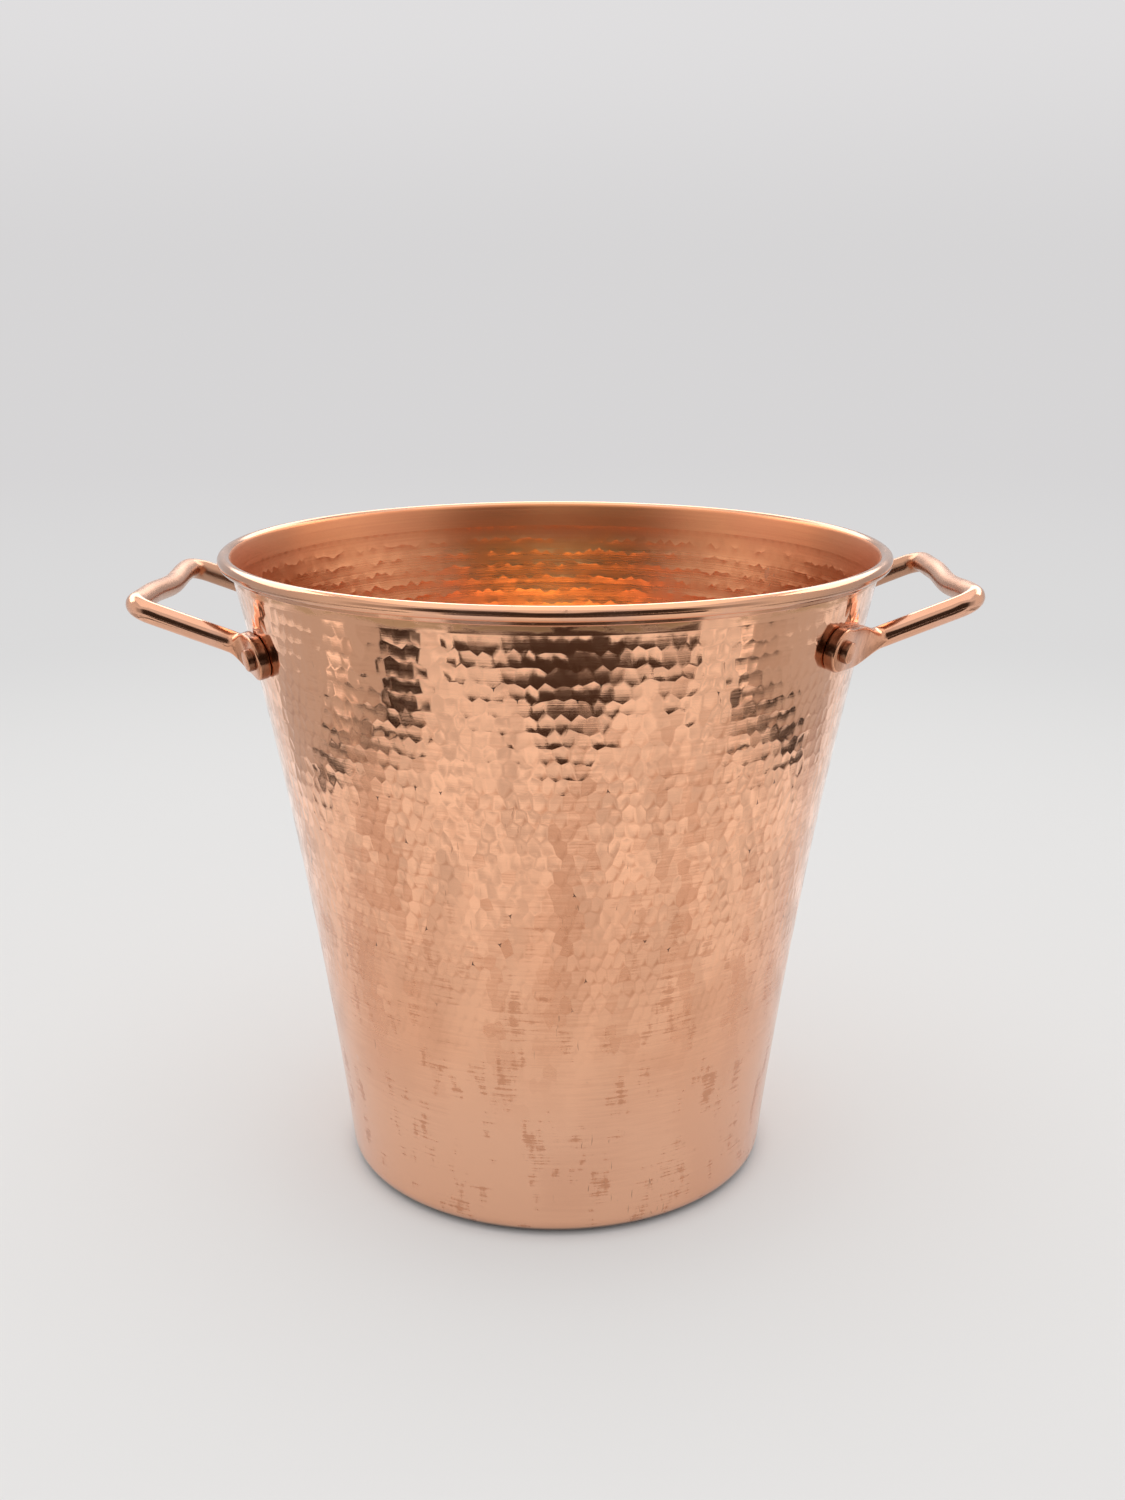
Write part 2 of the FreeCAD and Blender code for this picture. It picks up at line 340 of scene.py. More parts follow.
def lay_out_marks(shell, outwards):
    """Turns the wall's square grid into staggered six-sided fields, each a little different."""
    row, column = mark_lines(places(shell), outwards)
    ends = edge_ends(shell)
    upright = (row[ends] >= 0).all(1) & (row[ends[:, 0]] != row[ends[:, 1]])
    lower = np.minimum(row[ends[:, 0]], row[ends[:, 1]])
    pick(shell, "EDGE", upright & ((column[ends[:, 0]] + lower) % 2 == 1))
    bpy.ops.mesh.dissolve_edges(use_verts=False)
    done()

    points = places(shell)
    row, column = mark_lines(points, outwards)
    inner = (row > 0) & (row < len(MARK_ROWS) - 1)
    turn = turn_of(points)
    z = points[:, 2].copy()
    step = MARK_ROWS[1] - MARK_ROWS[0]
    zigzag = np.where((row + column) % 2 == 0, 1, -1) * ZIGZAG
    z[inner] += step * (zigzag + RNG.uniform(-ROW_SPREAD, ROW_SPREAD, len(z)))[inner]
    turn[inner] += (2 * pi / MARKS_ROUND) * RNG.uniform(-TURN_SPREAD, TURN_SPREAD, len(z))[inner]
    radius = wall_at(np.clip(z, 0, HEIGHT), outwards)
    points[inner] = np.stack((radius * np.cos(turn), radius * np.sin(turn), z), 1)[inner]
    set_places(shell, points)


def field_rank(middles):
    """Place of each field by row and turn, so that every run gives a field the same chance values."""
    row = np.floor((middles[:, 2] - MARK_ROWS[0]) / (MARK_ROWS[1] - MARK_ROWS[0]))
    order = np.lexsort((turn_of(middles), row))
    rank = np.empty(len(order), int)
    rank[order] = np.arange(len(order))
    return rank


def strike_marks(shell, outwards, depth, with_ring):
    """Dents every six-sided field of one face of the wall, most in its middle, and a ring of it if wanted.

    Gives back how many points there were before the blows.
    """
    mesh = shell.data
    sides = np.empty(len(mesh.polygons), int)
    mesh.polygons.foreach_get("loop_total", sides)
    on_face = np.abs(off_wall(face_vectors(shell, "center"), outwards)) < SHEET / 2
    fields = on_face & (sides > 4)
    old_count = len(mesh.vertices)
    pick(shell, "FACE", fields)
    if with_ring:
        bpy.ops.mesh.inset(thickness=MARK_EDGE, use_individual=True, use_even_offset=True)
    bpy.ops.mesh.poke()
    done()

    points = places(shell)
    corners = np.empty(len(mesh.loops), int)
    mesh.loops.foreach_get("vertex_index", corners)
    field_count = int(fields.sum())
    first_middle = len(points) - field_count
    starts = [polygon.loop_start for polygon in mesh.polygons if polygon.loop_total == 3]
    triangles = np.array([corners[start:start + 3] for start in starts])
    triangles = triangles[triangles.max(1) >= first_middle]
    middle = triangles.max(1)
    strength = np.zeros(len(points))
    rank = field_rank(points[first_middle:])
    blow = depth * RNG.uniform(*(OUTER_BLOWS if with_ring else INNER_BLOWS), field_count)[rank]
    strength[first_middle:] = blow * mark_strength(points[first_middle:, 2])
    field = np.full(len(points), -1)
    field[first_middle:] = np.arange(field_count)
    if with_ring:
        for corner in triangles.T:
            ring = (corner >= old_count) & (corner < first_middle)
            strength[corner[ring]] = RING_SHARE * strength[middle[ring]]
            field[corner[ring]] = middle[ring] - first_middle
    side = 1 if outwards == 0 else -1
    points -= wall_normals(points) * (side * strength)[:, None]
    set_places(shell, points)
    if with_ring:
        colour_fields(shell, field, points[first_middle:], rank)
    return old_count


def waves(turn, z, count, seed):
    """Smooth, seeded unevenness, mostly between -1 and 1, that closes round the wall."""
    rng = np.random.default_rng(seed)
    total = np.zeros_like(turn)
    for _ in range(count):
        around = rng.integers(2, 14)
        along = rng.uniform(-60, 60)
        total += np.sin(around * turn + along * z + rng.uniform(0, 2 * pi))
    return total / sqrt(count)


def colour_fields(shell, field, middles, rank):
    """Keeps each mark's own tone on its faces, a painted shade at its edges on its points, strongest on its
    lower and right-hand side, and a few pits where edges meet.
    """
    drift = waves(turn_of(middles) * 2, middles[:, 2] * 0.6, 12, 5)
    tone = 0.5 + 0.17 * drift + RNG.normal(0, TONE_SPREAD, len(middles))[rank]
    of_face = np.array([field[list(polygon.vertices)].max() for polygon in shell.data.polygons])
    keep(shell, "field_tone", "FACE", np.where(of_face >= 0, tone[of_face], 0.0))
    points = places(shell)
    offset = points - middles[field]
    # Painted shade: the lower and right-hand side of each mark gets the most, its ridges a part of it
    beside = (offset[:, 1] * points[:, 0] - offset[:, 0] * points[:, 1]) / radius_of(points)
    lower = np.clip((beside - 0.5 * offset[:, 2]) / (0.4 * MARK_HEIGHT), 0, 1)
    keep(shell, "painted_edge_shade", "POINT", np.where(field < 0, 0.5, 0.85 * lower))
    corner = (field < 0) & (np.abs(off_wall(points)) < ON_LINE)
    corner &= (points[:, 2] > MARK_ROWS[1]) & (points[:, 2] < MARK_ROWS[-2])
    keep(shell, "pit", "POINT", corner & (RNG.random(len(points)) < PIT_SHARE))


def uneven_wall(shell):
    """The sheet is never true after planishing: it waves in and out a little below the rim."""
    points = places(shell)
    turn = turn_of(points)
    z = points[:, 2]
    wave = np.clip(waves(turn, z, 14, 9) * 0.5 - 0.5, -1.2, 0)
    fade = np.clip((HEM_FOOT - z) / (10 * MM), 0, 1) * np.clip((z - 8 * MM) / (20 * MM), 0, 1)
    points += wall_normals(points) * (WAVE_DEPTH * wave * fade)[:, None]
    set_places(shell, points)


def make_shell():
    """The sheet is spun from its section, laid out in fields, struck, and kept crisp between its marks."""
    shell = start_piece("bucket_shell_skin", bpy.ops.mesh.primitive_plane_add, size=MM)
    draw_outline(shell, shell_outline())
    bpy.ops.mesh.spin(steps=2 * MARKS_ROUND, angle=2 * pi, center=(0, 0, 0), axis=(0, 0, 1))
    close_mesh()
    done()
    lay_out_marks(shell, 0.0)
    lay_out_marks(shell, -SHEET)
    ridge_count = strike_marks(shell, 0.0, MARK_DEPTH, True)
    strike_marks(shell, -SHEET, INNER_DEPTH, False)

    points = places(shell)
    on_rows = (points[:, 2] > MARK_ROWS[1]) & (points[:, 2] < MARK_ROWS[-1] + MM)
    ends = edge_ends(shell)
    ridge = (ends < ridge_count).all(1) & on_rows[ends].all(1)
    middle = points[ends].mean(1)
    ridge &= middle[:, 2] > (NO_MARKS_BELOW + SOFT_MARKS_BELOW) / 2
    along = np.abs(points[ends[:, 0]] - points[ends[:, 1]])
    level = along[:, 2] < radius_of(along)
    inside = off_wall(middle, -SHEET / 2) < 0
    ridge &= level == (inside | (middle[:, 2] > UPRIGHT_EDGES_BELOW))
    pick(shell, "EDGE", ridge)
    bpy.ops.mesh.mark_sharp()
    done()
    uneven_wall(shell)
    smooth(shell)
    return shell


# Handles

class Foot:
    """Where one end of a handle sits on the wall: the rivet's point, the wall's normal and the arm's line."""

    def __init__(self, setting, side):
        turn = radians(setting["foot_angle"]) * side
        z = HEIGHT - setting["rivet_drop"]
        self.normal = wall_normal(turn, z)
        self.rivet_point = Vector((cos(turn) * wall_at(z), sin(turn) * wall_at(z), z))
        tilt = radians(setting["tilt"])
        self.inwards = Vector((-cos(tilt), 0, -sin(tilt)))
        self.corner = Vector((HANDLE_REACH, side * HANDLE_HALF_SPAN, HEIGHT - setting["bar_drop"]))
        self.meeting = self.corner + self.inwards * self.arm_length()
        self.neck = self.meeting - self.inwards * NECK_LENGTH

    def arm_length(self):
        """Length of the arm's line from its corner to the middle of the foot's thickness, by halving."""
        short, long = 0.0, HANDLE_REACH
        while long - short > 1e-8:
            middle = (short + long) / 2
            point = self.corner + self.inwards * middle
            if hypot(point.x, point.y) > wall_at(point.z, FIT_GAP + FOOT_THICKNESS / 2):
                short = middle
            else:
                long = middle
        return short

    def on_wall(self, distance, towards):
        """Point in the middle of the foot's thickness, so far from the rivet, and the wall's normal there."""
        offset = FIT_GAP + FOOT_THICKNESS / 2
        point = self.rivet_point + self.normal * offset + towards * distance
        turn = atan2(point.y, point.x)
        radius = wall_at(point.z, offset)
        place = Vector((cos(turn) * radius, sin(turn) * radius, point.z))
        return place, wall_normal(turn, point.z)


def section(centre, along, normal, width, thickness, corner):
    """Ring across the rod: a rounded rectangle, which is a circle where its corners take all of it."""
    wide = along.cross(normal).normalized()
    thick = wide.cross(along)
    ring = []
    for step in range(SECTION_POINTS):
        turn = 2 * pi * (step + 0.5) / SECTION_POINTS
        x = cos(turn) * corner + (width / 2 - corner) * (1 if cos(turn) > 0 else -1)
        y = sin(turn) * corner + (thickness / 2 - corner) * (1 if sin(turn) > 0 else -1)
        ring.append(centre + wide * x + thick * y)
    return ring


def foot_rings(foot):
    """Rings from the round tip of the foot, past the rivet and the bend, to the start of the round rod."""
    towards = foot.meeting - foot.rivet_point
    towards -= foot.normal * towards.dot(foot.normal)
    towards.normalize()
    rings = []
    for turn in (84, 74, 62, 50, 38, 25, 12, 0):
        place, normal = foot.on_wall(-FOOT_RADIUS * sin(radians(turn)), towards)
        width = 2 * FOOT_RADIUS * cos(radians(turn))
        thickness = FOOT_THICKNESS - (0.9 * MM if turn > 80 else 0.25 * MM if turn > 70 else 0)
        rings.append(section(place, towards, normal, width, thickness, min(FOOT_EDGE, width / 2.2)))
    end, end_normal = foot.on_wall(FOOT_RADIUS * 0.35, towards)
    start, bend = foot.neck, foot.meeting
    for share in np.linspace(0, 1, 11):
        place = end * (1 - share) ** 2 + bend * (2 * share * (1 - share)) + start * share ** 2
        along = ((bend - end) * (1 - share) + (start - bend) * share).normalized()
        normal = (end_normal - along * end_normal.dot(along)).normalized()
        narrow = eased(min(max(share - 0.2, 0) / 0.6, 1))
        rounder = eased(min(max(share - 0.15, 0) / 0.75, 1))
        width = 2 * FOOT_RADIUS * 0.96 + (2 * ROD_RADIUS - 2 * FOOT_RADIUS * 0.96) * narrow
        thickness = FOOT_THICKNESS + (2 * ROD_RADIUS - FOOT_THICKNESS) * rounder
        corner = FOOT_EDGE + (ROD_RADIUS - FOOT_EDGE) * rounder
        rings.append(section(place, along, normal, width, thickness, min(corner, width / 2, thickness / 2)))
    return rings


def rod_rings(front, rear):
    """Rings of the round rod between its necks: an arm, a bend, the grip bar, a bend and the other arm."""
    outwards = -front.inwards
    across = Vector((0, 1, 0))
    upright = outwards.cross(across)

    def ring(centre, along, flat):
        return section(centre, along, flat, 2 * ROD_RADIUS, 2 * ROD_RADIUS, ROD_RADIUS)

    rings = []
    arm = front.corner - front.neck
    for share in (0.12, 0.3, 0.5, 0.7):
        rings.append(ring(front.neck + arm * share, outwards, front.normal))
    for corner, first, last in ((front.corner, outwards, across), (rear.corner, across, -outwards)):
        centre = corner - first * ROD_BEND + last * ROD_BEND
        for turn in np.linspace(0, pi / 2, 10):
            place = centre + first * (ROD_BEND * sin(turn)) - last * (ROD_BEND * cos(turn))
            along = first * cos(turn) + last * sin(turn)
            rings.append(ring(place, along, upright))
        if corner is front.corner:
            bar = rear.corner - front.corner
            for share in np.linspace(0.14, 0.86, 17):
                sag = BAR_SAG * (eased(1 - min(abs(share - 0.42) / 0.3, 1)))
                place = front.corner + bar * share - outwards * sag - upright * (sag * 0.4)
                rings.append(ring(place, across, upright))
    arm = rear.corner - rear.neck
    for share in (0.7, 0.5, 0.3, 0.12):
        rings.append(ring(rear.neck + arm * share, -outwards, rear.normal))
    return rings


def aligned(ring, previous):
    """The ring with its points counted so that they lie nearest to those of the previous ring."""
    best = None
    for way in (1, -1):
        for start in range(len(ring)):
            turned = [ring[(start + way * step) % len(ring)] for step in range(len(ring))]
            apart = sum((a - b).length for a, b in zip(turned[::4], previous[::4]))
            if best is None or apart < best[0]:
                best = (apart, turned)
    return best[1]


def make_handle(name, setting, heading):
    """A grid is wrapped round the handle's rings, closed at its seam and tips, and turned to its side."""
    front, rear = Foot(setting, -1), Foot(setting, 1)
    rings = foot_rings(front) + rod_rings(front, rear) + foot_rings(rear)[::-1]
    for index in range(1, len(rings)):
        rings[index] = aligned(rings[index], rings[index - 1])
    handle = start_piece(name, bpy.ops.mesh.primitive_grid_add, x_subdivisions=SECTION_POINTS,
                         y_subdivisions=len(rings) - 1, size=MM)
    facing = Matrix.Rotation(radians(heading), 3, "Z")
    wrapped = [facing @ ring[step % SECTION_POINTS] for ring in rings for step in range(SECTION_POINTS + 1)]
    set_places(handle, np.array(wrapped))
    edit(handle)
    bpy.ops.mesh.select_all(action="SELECT")
    bpy.ops.mesh.remove_doubles(threshold=MERGE_GAP)
    bpy.ops.mesh.select_all(action="SELECT")
    bpy.ops.mesh.fill_holes(sides=SECTION_POINTS)
    close_mesh()
    done()
    keep_foot_sides(handle, [front, rear], facing)
    smooth(handle, 50)
    return handle, [front, rear]


def keep_foot_sides(handle, feet, facing):
    """Keeps on the mesh where the narrow sides of the forged feet are, darkened partly by forge scale and
    partly by painted shade where they meet the wall.
    """
    points = places(handle)
    side = np.zeros(len(points))
    for foot in feet:
        away = np.linalg.norm(points - np.array(facing @ foot.rivet_point), axis=1)
        side = np.maximum(side, np.clip((DARK_FOOT_REACH - away) / (3 * MM), 0, 1))
    side *= np.clip((FOOT_THICKNESS - 0.1 * MM - off_wall(points)) / (0.5 * MM), 0, 1)
    keep(handle, "forge_scale_and_shade", "POINT", side)


def make_rivet(name, foot, heading):
    """Button outside and a flush countersunk end inside, spun about the rivet's axis and worked by hand."""
    seat = 2 * FIT_GAP + FOOT_THICKNESS
    top = seat + BUTTON_HEIGHT
    flush = 0.02 * MM - SHEET
    outline = [(0, top + BUTTON_CROWN), (BUTTON_RADIUS * 0.45, top + 0.22 * MM)]
    outline += arc_points((BUTTON_RADIUS - BUTTON_EDGE, top - BUTTON_EDGE), BUTTON_EDGE, 90, 0, 5)
    outline += [(BUTTON_RADIUS, seat), (SHANK_RADIUS, seat - 0.2 * MM), (SHANK_RADIUS, flush + SINK_DEPTH)]
    outline += [(SINK_RADIUS, flush), (0, flush)]
    rivet = start_piece(name, bpy.ops.mesh.primitive_plane_add, size=MM)
    draw_outline(rivet, [(radius, 0, z) for radius, z in outline])
    bpy.ops.mesh.spin(steps=36, angle=2 * pi, center=(0, 0, 0), axis=(0, 0, 1))
    close_mesh()
    bpy.ops.transform.vertex_random(offset=HAND_WORK, seed=3)
    done()
    points = places(rivet)
    # Painted shade in the crevice round the button's side, where it meets the foot
    side = np.clip((radius_of(points) / BUTTON_RADIUS - 0.84) / 0.1, 0, 1)
    side *= (points[:, 2] > seat - 0.1 * MM) & (points[:, 2] < top - 0.25 * BUTTON_EDGE)
    keep(rivet, "forge_scale_and_shade", "POINT", side)
    facing = Matrix.Rotation(radians(heading), 4, "Z")
    stand = Matrix.Translation(foot.rivet_point) @ UP.rotation_difference(foot.normal).to_matrix().to_4x4()
    rivet.matrix_world = facing @ stand
    bpy.ops.object.transform_apply(location=True, rotation=True, scale=True)
    smooth(rivet, 40)
    return rivet


# Materials

class Shade:
    """An output of a material's nodes. Arithmetic on shades adds Math nodes."""

    def __init__(self, tree, socket):
        self.tree = tree
        self.socket = socket

    def node(self, kind, settings=None, inputs=None, output=0):
        """Adds a node: its settings first, then the values or links of its sockets."""
        return add_node(self.tree, kind, settings, inputs, output)

    def math(self, operation, *values):
        return self.node("ShaderNodeMath", {"operation": operation}, dict(enumerate(values)))

    def __add__(self, other):
        return self.math("ADD", self, other)

    def __sub__(self, other):
        return self.math("SUBTRACT", self, other)

    def __rsub__(self, other):
        return self.math("SUBTRACT", other, self)

    def __mul__(self, other):
        return self.math("MULTIPLY", self, other)

    __radd__ = __add__
    __rmul__ = __mul__

    def axis(self, number):
        """One coordinate of a place."""
        return self.node("ShaderNodeSeparateXYZ", None, {0: self}, number)

    def unsigned(self):
        return self.math("ABSOLUTE", self)

    def clamp(self):
        return self.node("ShaderNodeClamp", None, {0: self})

    def between(self, low, high):
        """0 below low, 1 above high and smooth between; the other way round where low is the larger."""
        if low > high:
            return 1 - self.between(high, low)
        settings = {"interpolation_type": "SMOOTHSTEP"}
        return self.node("ShaderNodeMapRange", settings, {0: self, 1: low, 2: high})

    def tint(self, colour, share):
        """This colour, mixed towards another one."""
        settings = {"data_type": "RGBA", "blend_type": "MIX"}
        return self.node("ShaderNodeMix", settings, {0: share, 6: self, 7: (*colour, 1)}, 2)


def add_node(tree, kind, settings=None, inputs=None, output=0):
    made = tree.nodes.new(kind)
    for key, value in (settings or {}).items():
        setattr(made, key, value)
    for key, value in (inputs or {}).items():
        if isinstance(value, Shade):
            tree.links.new(value.socket, made.inputs[key])
        else:
            made.inputs[key].default_value = value
    return Shade(tree, made.outputs[output])


def new_material(name):
    """An empty node material, its tree and its shader."""
    material = bpy.data.materials.new(name)
    material.use_nodes = True
    tree = material.node_tree
    shader = next(node for node in tree.nodes if node.type == "BSDF_PRINCIPLED")
    return material, tree, shader


def object_place(tree):
    return add_node(tree, "ShaderNodeTexCoord", None, None, 3)


def stretched(place, scale, turn=(0, 0, 0)):
    """Object coordinates with their own scale along each axis."""
    return place.node("ShaderNodeMapping", None, {0: place, 2: turn, 3: scale})


def noise(place, scale, detail=2.0, rough=0.5, turn=(0, 0, 0)):
    inputs = {"Vector": stretched(place, scale, turn), "Scale": 1.0, "Detail": detail, "Roughness": rough}
    return place.node("ShaderNodeTexNoise", None, inputs)


# Colours of the copper, of what has settled on it, and of the shade painted on it
BRIGHT_COPPER = (0.95, 0.50, 0.30)
PALE_COPPER = (0.94, 0.545, 0.37)
TAN_COPPER = (0.76, 0.345, 0.186)
DEEP_TAN = (0.60, 0.24, 0.115)
BROWN_COPPER = (0.36, 0.17, 0.09)
DARK_BROWN = (0.06, 0.025, 0.015)
RESIDUE = (0.56, 0.29, 0.125)
ROD_COPPER = (0.80, 0.43, 0.28)
PINK_COPPER = (0.79, 0.46, 0.335)
INSIDE_GLOW = (0.97, 0.50, 0.195)
INSIDE_BROWN = (0.62, 0.23, 0.105)
INSIDE_ROSE = (0.92, 0.37, 0.205)
PAINTED_SHADE_COPPER = (0.43, 0.235, 0.15)


def finish_copper(tree, shader, base, roughness, fine_lines, line_depth):
    shader.inputs["Metallic"].default_value = 1.0
    tree.links.new(base.socket, shader.inputs["Base Color"])
    tree.links.new(roughness.socket, shader.inputs["Roughness"])
    bump = base.node("ShaderNodeBump", None, {"Strength": 0.35, "Distance": line_depth, "Height": fine_lines})
    tree.links.new(bump.socket, shader.inputs["Normal"])


def kept(tree, name):
    """A value that the modelling kept on the mesh."""
    return add_node(tree, "ShaderNodeAttribute", {"attribute_name": name}, None, 2)


def blended(tree, first, second, share):
    inputs = {0: share, 6: (*first, 1), 7: (*second, 1)}
    return add_node(tree, "ShaderNodeMix", {"data_type": "RGBA"}, inputs, 2)


def wall_copper():
    """Planished sheet: bright under the rim, brushed and patchy lower down, with pits and residue, painted
    shade along the marks' edges and a painted contact shadow at its foot.
    """
    material, tree, shader = new_material("planished_copper")
    place = object_place(tree)
    height = place.axis(2)
    brushed = noise(place, (25, 25, 2400), 3.0, 0.6)
    strokes = noise(place, (60, 60, 1100), 3.0, 0.6)
    low_on_wall = height.between(0.16, 0.05)
    streaks = noise(place, (130, 130, 45), 4.0, 0.6) + (strokes - 0.5) * 0.5
    field = kept(tree, "field_tone") + (strokes - 0.5) * 0.55
    patches = field.between(0.45, 0.85) * (0.5 + 0.5 * height.between(0.19, 0.15)) * height.between(0.02, 0.1)
    stains = streaks.between(0.585, 0.665) * (0.2 + 0.8 * low_on_wall)
    broad = noise(place, (22, 22, 14), 2.0)
    shade_patches = noise(place, (90, 90, 70), 3.0)
    zones = noise(place, (28, 28, 18), 2.0).between(0.32, 0.5)
    # Painted shade along the marks' edges, strongest on their lower and right-hand sides, broken into patches
    edges = kept(tree, "painted_edge_shade").between(0.25, 0.85) * shade_patches.between(0.34, 0.54) * zones
    edges = edges * height.between(0.055, 0.1) * height.between(0.195, 0.17)
    scratch_lines = noise(place, (1000, 1000, 50), 2.0, 0.5, (0.0, 0.2, 0.0))
    scratches = scratch_lines.between(0.68, 0.74) * noise(place, (40, 40, 25), 1.0).between(0.55, 0.7)
    pits = kept(tree, "pit").between(0.66, 0.86) * height.between(0.07, 0.1)
    wander = noise(place, (60, 60, 60), 3.0)
    residue = (height + (wander - 0.5) * 0.006).between(HEM_FOOT - 2.2 * MM, HEM_FOOT - 0.9 * MM)
    residue = residue * noise(place, (110, 110, 300), 3.0).between(0.35, 0.55)

    base = blended(tree, BRIGHT_COPPER, TAN_COPPER, patches * 0.8)
    clouds = (broad + (strokes - 0.5) * 0.25).between(0.45, 0.62) * 0.5 * low_on_wall
    base = base.tint(TAN_COPPER, clouds)
    base = base.tint(PALE_COPPER, height.between(0.08, 0.03) * 0.5)
    base = base.tint(DEEP_TAN, stains * 0.65)
    # Painted contact shadow: the lowest few millimetres of the wall turn dark brown
    base = base.tint(DARK_BROWN, height.between(3.2 * MM, 1.5 * MM) * 0.85)
    # Painted shade: darker tan along the marks' edges
    base = base.tint(DEEP_TAN, edges * 0.7)
    base = base.tint(BROWN_COPPER, scratches * 0.7)
    base = base.tint(DARK_BROWN, pits * 0.95)
    base = base.tint(RESIDUE, residue * 0.75)
    shader.inputs["Coat Weight"].default_value = 0.5
    shader.inputs["Coat Roughness"].default_value = 0.12
    roughness = 0.08 + 0.13 * low_on_wall + (brushed - 0.5) * 0.1
    roughness = roughness + 0.12 * patches + 0.1 * stains + 0.3 * residue
    finish_copper(tree, shader, base, roughness.clamp(), brushed, 0.02 * MM)
    return material


def inside_copper():
    """Inside of the sheet: brushed round and round, browner at the rim, glowing between, with painted
    reflection and shade making it rosier and browner towards its left and right sides.
    """
    material, tree, shader = new_material("brushed_copper_inside")
    place = object_place(tree)
    height = place.axis(2)
    brushed = noise(place, (14, 14, 1300), 3.0, 0.6)
    cloudy = noise(place, (26, 26, 50), 3.0) + (brushed - 0.5) * 0.5
    upper = height.between(0.196, 0.203)
    base = blended(tree, INSIDE_GLOW, INSIDE_BROWN, cloudy.between(0.4, 0.7) * (0.3 + 0.4 * upper))
    beside = place.axis(0).unsigned()
    # Painted reflection and shade: rosier, then browner, towards the left and right sides of the inside
    base = base.tint(INSIDE_ROSE, beside.between(0.02, 0.045) * 0.7)
    base = base.tint(INSIDE_BROWN, beside.between(0.07, 0.098) * 0.85)
    base = base.tint(BROWN_COPPER, beside.between(0.088, 0.1) * 0.6)
    # Browner top band, which painted reflection lightens towards the left and right sides
    base = base.tint(INSIDE_BROWN, upper * (0.8 - 0.5 * beside.between(0.03, 0.055)))
    roughness = 0.28 + 0.09 * upper + (brushed - 0.5) * 0.16
    finish_copper(tree, shader, base, roughness.clamp(), brushed, 0.1 * MM)
    return material


def rim_copper():
    """The roll of the rim: bright in front and behind, painted duskier at its left and right sides as shade
    that dims its highlight there, with dull spots.
    """
    material, tree, shader = new_material("rolled_rim_copper")
    place = object_place(tree)
    spots = noise(place, (220, 220, 220), 4.0, 0.6)
    dull = noise(place, (45, 45, 45), 3.0)
    base = blended(tree, BRIGHT_COPPER, PINK_COPPER, dull.between(0.45, 0.7) * 0.7)
    base = base.tint(BROWN_COPPER, spots.between(0.66, 0.74) * 0.6)
    beside = place.axis(0).unsigned()
    sides = beside.between(0.05, 0.1)
    # Painted shade: the roll darkens towards its left and right sides to dim the highlight there
    base = base.tint(PAINTED_SHADE_COPPER, beside.between(0.03, 0.1) * 0.9)
    roughness = 0.1 + 0.04 * sides + 0.12 * dull.between(0.45, 0.7) + 0.2 * spots.between(0.62, 0.74)
    finish_copper(tree, shader, base, roughness.clamp(), spots, 0.03 * MM)
    return material


def rod_copper(name, dullness):
    """Drawn rod: bright in front, painted darker as shade and rougher on the bar and the rear arm, browner
    and scratched where its ends were forged, with forge scale and painted shade on the feet's sides.
    """
    material, tree, shader = new_material(name)
    place = object_place(tree)
    level = place.node("ShaderNodeVectorMath", {"operation": "MULTIPLY"}, {0: place, 1: (1, 1, 0)})
    out = place.node("ShaderNodeVectorMath", {"operation": "LENGTH"}, {0: level}, 1)
    forged = out.between(0.114, 0.106)
    cloudy = noise(place, (90, 90, 90), 3.0)
    fine = noise(place, (700, 700, 700), 3.0, 0.6)
    scratches = noise(place, (1500, 1500, 120), 2.0, 0.5, (0.5, 0.3, 0.0))
    base = blended(tree, ROD_COPPER, PINK_COPPER, cloudy.between(0.4, 0.7) * 0.6)
    # Painted shade: the bar and the rear arm, further back than the front arm, are darkened towards a shaded
    # copper
    behind = place.axis(1).between(-0.036, -0.024)
    base = base.tint(PAINTED_SHADE_COPPER, behind * 0.85)
    base = base.tint(TAN_COPPER, forged * 0.75)
    base = base.tint(BROWN_COPPER, forged * scratches.between(0.55, 0.7) * 0.5)
    base = base.tint(BROWN_COPPER, fine.between(0.66, 0.76) * (0.2 + dullness))
    # Near black: forge scale on the feet's sides, and painted shade there and round the rivet buttons
    base = base.tint(DARK_BROWN, kept(tree, "forge_scale_and_shade") * (0.45 + 0.45 * cloudy))
    roughness = 0.1 + dullness * 0.3 + cloudy.between(0.45, 0.7) * 0.08
    roughness = roughness + forged * 0.08 + fine.between(0.6, 0.75) * 0.1 + behind * 0.14
    fine_lines = cloudy + scratches * (0.08 - 0.07 * behind)
    finish_copper(tree, shader, base, roughness.clamp(), fine_lines, 0.05 * MM)
    return material


# Studio

WORLD_GREY = (0.675, 0.665, 0.67)
FLOOR_GREY = (0.86, 0.855, 0.85)
FLOOR_GLOW = (0.80, 0.80, 0.79)
FAR_GREY = (0.71, 0.705, 0.705)
WARM_DARK = (1.0, 0.7, 0.54)
CARD_WHITE = (1.0, 0.96, 0.93)
ROOM_DARK = (0.038, 0.027, 0.021)
ROOM_PALE = (0.82, 0.80, 0.79)

# Room behind the camera and softboxes round the back of the bucket
ROOM_SIDE = 1.4
ROOM_FRONT = -0.95
ROOM_BACK = 0.7
ROOM_HEIGHT = 1.2
SOFT_BACK = 1.5
SOFT_HALF_WIDTH = 0.9
SOFT_HEIGHT = 0.8
SOFT_SIDE = 1.26
SOFT_FRONT = 0.3
SOFT_LIFT = 0.74

# Cards lie just above the floor, in layers so that none shares a plane with one that it overlaps
TAN_LIFT = 0.4 * MM
CARD_LIFT = 0.5 * MM
WIDE_LIFT = 0.55 * MM
BRIGHT_LIFT = 0.6 * MM


